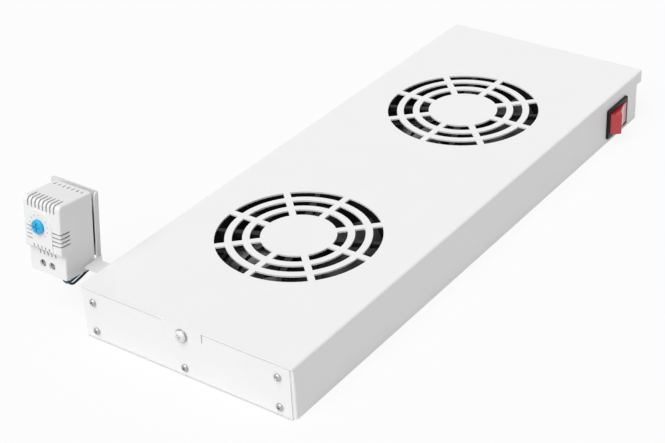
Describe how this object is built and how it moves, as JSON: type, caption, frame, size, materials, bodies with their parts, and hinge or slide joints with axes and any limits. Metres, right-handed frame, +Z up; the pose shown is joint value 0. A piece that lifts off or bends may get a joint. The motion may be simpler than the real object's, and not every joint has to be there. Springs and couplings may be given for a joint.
{
  "type": "rack fan tray",
  "caption": "Shallow white sheet-metal fan tray with round slotted grilles over axial fans, a red rocker switch in its side and a thermostat with a blue dial on a side bracket.",
  "frame": {"origin": "middle of the tray's underside", "axes": "+X towards the side with the rocker switch, +Y towards the end with the hooked lip, +Z up out of the grilles"},
  "size_m": [0.2367, 0.4658, 0.0884],
  "materials": {
    "white_enamel": "satin powder coat",
    "zinc_steel": "bright zinc plated",
    "fan_plastic": "matte moulded",
    "impeller_plastic": "satin moulded",
    "ground_steel": "ground",
    "magnet": "bonded ferrite",
    "stator_coils": "enamelled copper on steel",
    "circuit_board": "solder resist",
    "guard_wire": "nickel plated wire",
    "switch_black": "semi gloss moulded",
    "rocker_red": "translucent red moulded",
    "tinned_brass": "tinned",
    "thermostat_grey": "fine matte moulded",
    "dial_blue": "satin moulded",
    "bimetal": "rolled strip",
    "rubber_black": "matte",
    "terminal_plastic": "natural moulded",
    "wire_black": "insulated wire",
    "wire_blue": "insulated wire"
  },
  "bodies": {
    "tray": {"top_cover": "white_enamel", "base_plate": "white_enamel", "near_end_panel": "white_enamel", "far_end_panel": "white_enamel", "near_panel_screws": "zinc_steel", "far_panel_screws": "zinc_steel", "tab_screw": "zinc_steel", "tab_washer": "zinc_steel", "tab_nut": "zinc_steel", "fan_studs": "zinc_steel", "fan_nuts": "zinc_steel", "switch_body": "switch_black", "switch_terminals": "tinned_brass", "thermostat_cover": "thermostat_grey", "thermostat_base": "thermostat_grey", "thermostat_terminal_block": "terminal_plastic", "thermostat_terminal_screws": "zinc_steel", "bimetal_strip": "bimetal", "din_rail": "zinc_steel", "rail_rivets": "zinc_steel", "mounting_bracket": "white_enamel", "bracket_screws": "zinc_steel", "bracket_nuts": "zinc_steel", "wall_grommet": "rubber_black", "cord_grommet": "rubber_black", "terminal_block": "terminal_plastic", "terminal_block_screws": "tinned_brass", "thermostat_wire_black": "wire_black", "thermostat_wire_blue": "wire_blue", "near_fan_frame": "fan_plastic", "near_fan_bearings": "ground_steel", "near_fan_stator": "stator_coils", "near_fan_circuit_board": "circuit_board", "near_finger_guard": "guard_wire", "far_fan_frame": "fan_plastic", "far_fan_bearings": "ground_steel", "far_fan_stator": "stator_coils", "far_fan_circuit_board": "circuit_board", "far_finger_guard": "guard_wire"},
    "near_rotor": {"near_fan_impeller": "impeller_plastic", "near_fan_shaft": "ground_steel", "near_fan_magnet_ring": "magnet"},
    "far_rotor": {"far_fan_impeller": "impeller_plastic", "far_fan_shaft": "ground_steel", "far_fan_magnet_ring": "magnet"},
    "rocker": {"rocker_button": "rocker_red"},
    "dial": {"thermostat_dial": "dial_blue"}
  },
  "joints": [
    {"name": "near_fan_spin", "type": "hinge", "parent": "tray", "child": "near_rotor", "pos_m": [0, -0.105, 0.0253], "axis": [0, 0, 1], "continuous": true},
    {"name": "far_fan_spin", "type": "hinge", "parent": "tray", "child": "far_rotor", "pos_m": [0, 0.105, 0.0253], "axis": [0, 0, 1], "continuous": true},
    {"name": "rocker_tilt", "type": "hinge", "parent": "tray", "child": "rocker", "pos_m": [0.0845, 0.191, 0.0162], "axis": [0, 0, 1], "range_deg": [-36, 0]},
    {"name": "dial_turn", "type": "hinge", "parent": "tray", "child": "dial", "pos_m": [-0.1193, -0.22372, 0.07037], "axis": [0, -0.9936, 0.1132], "range_deg": [-140, 140]}
  ]
}
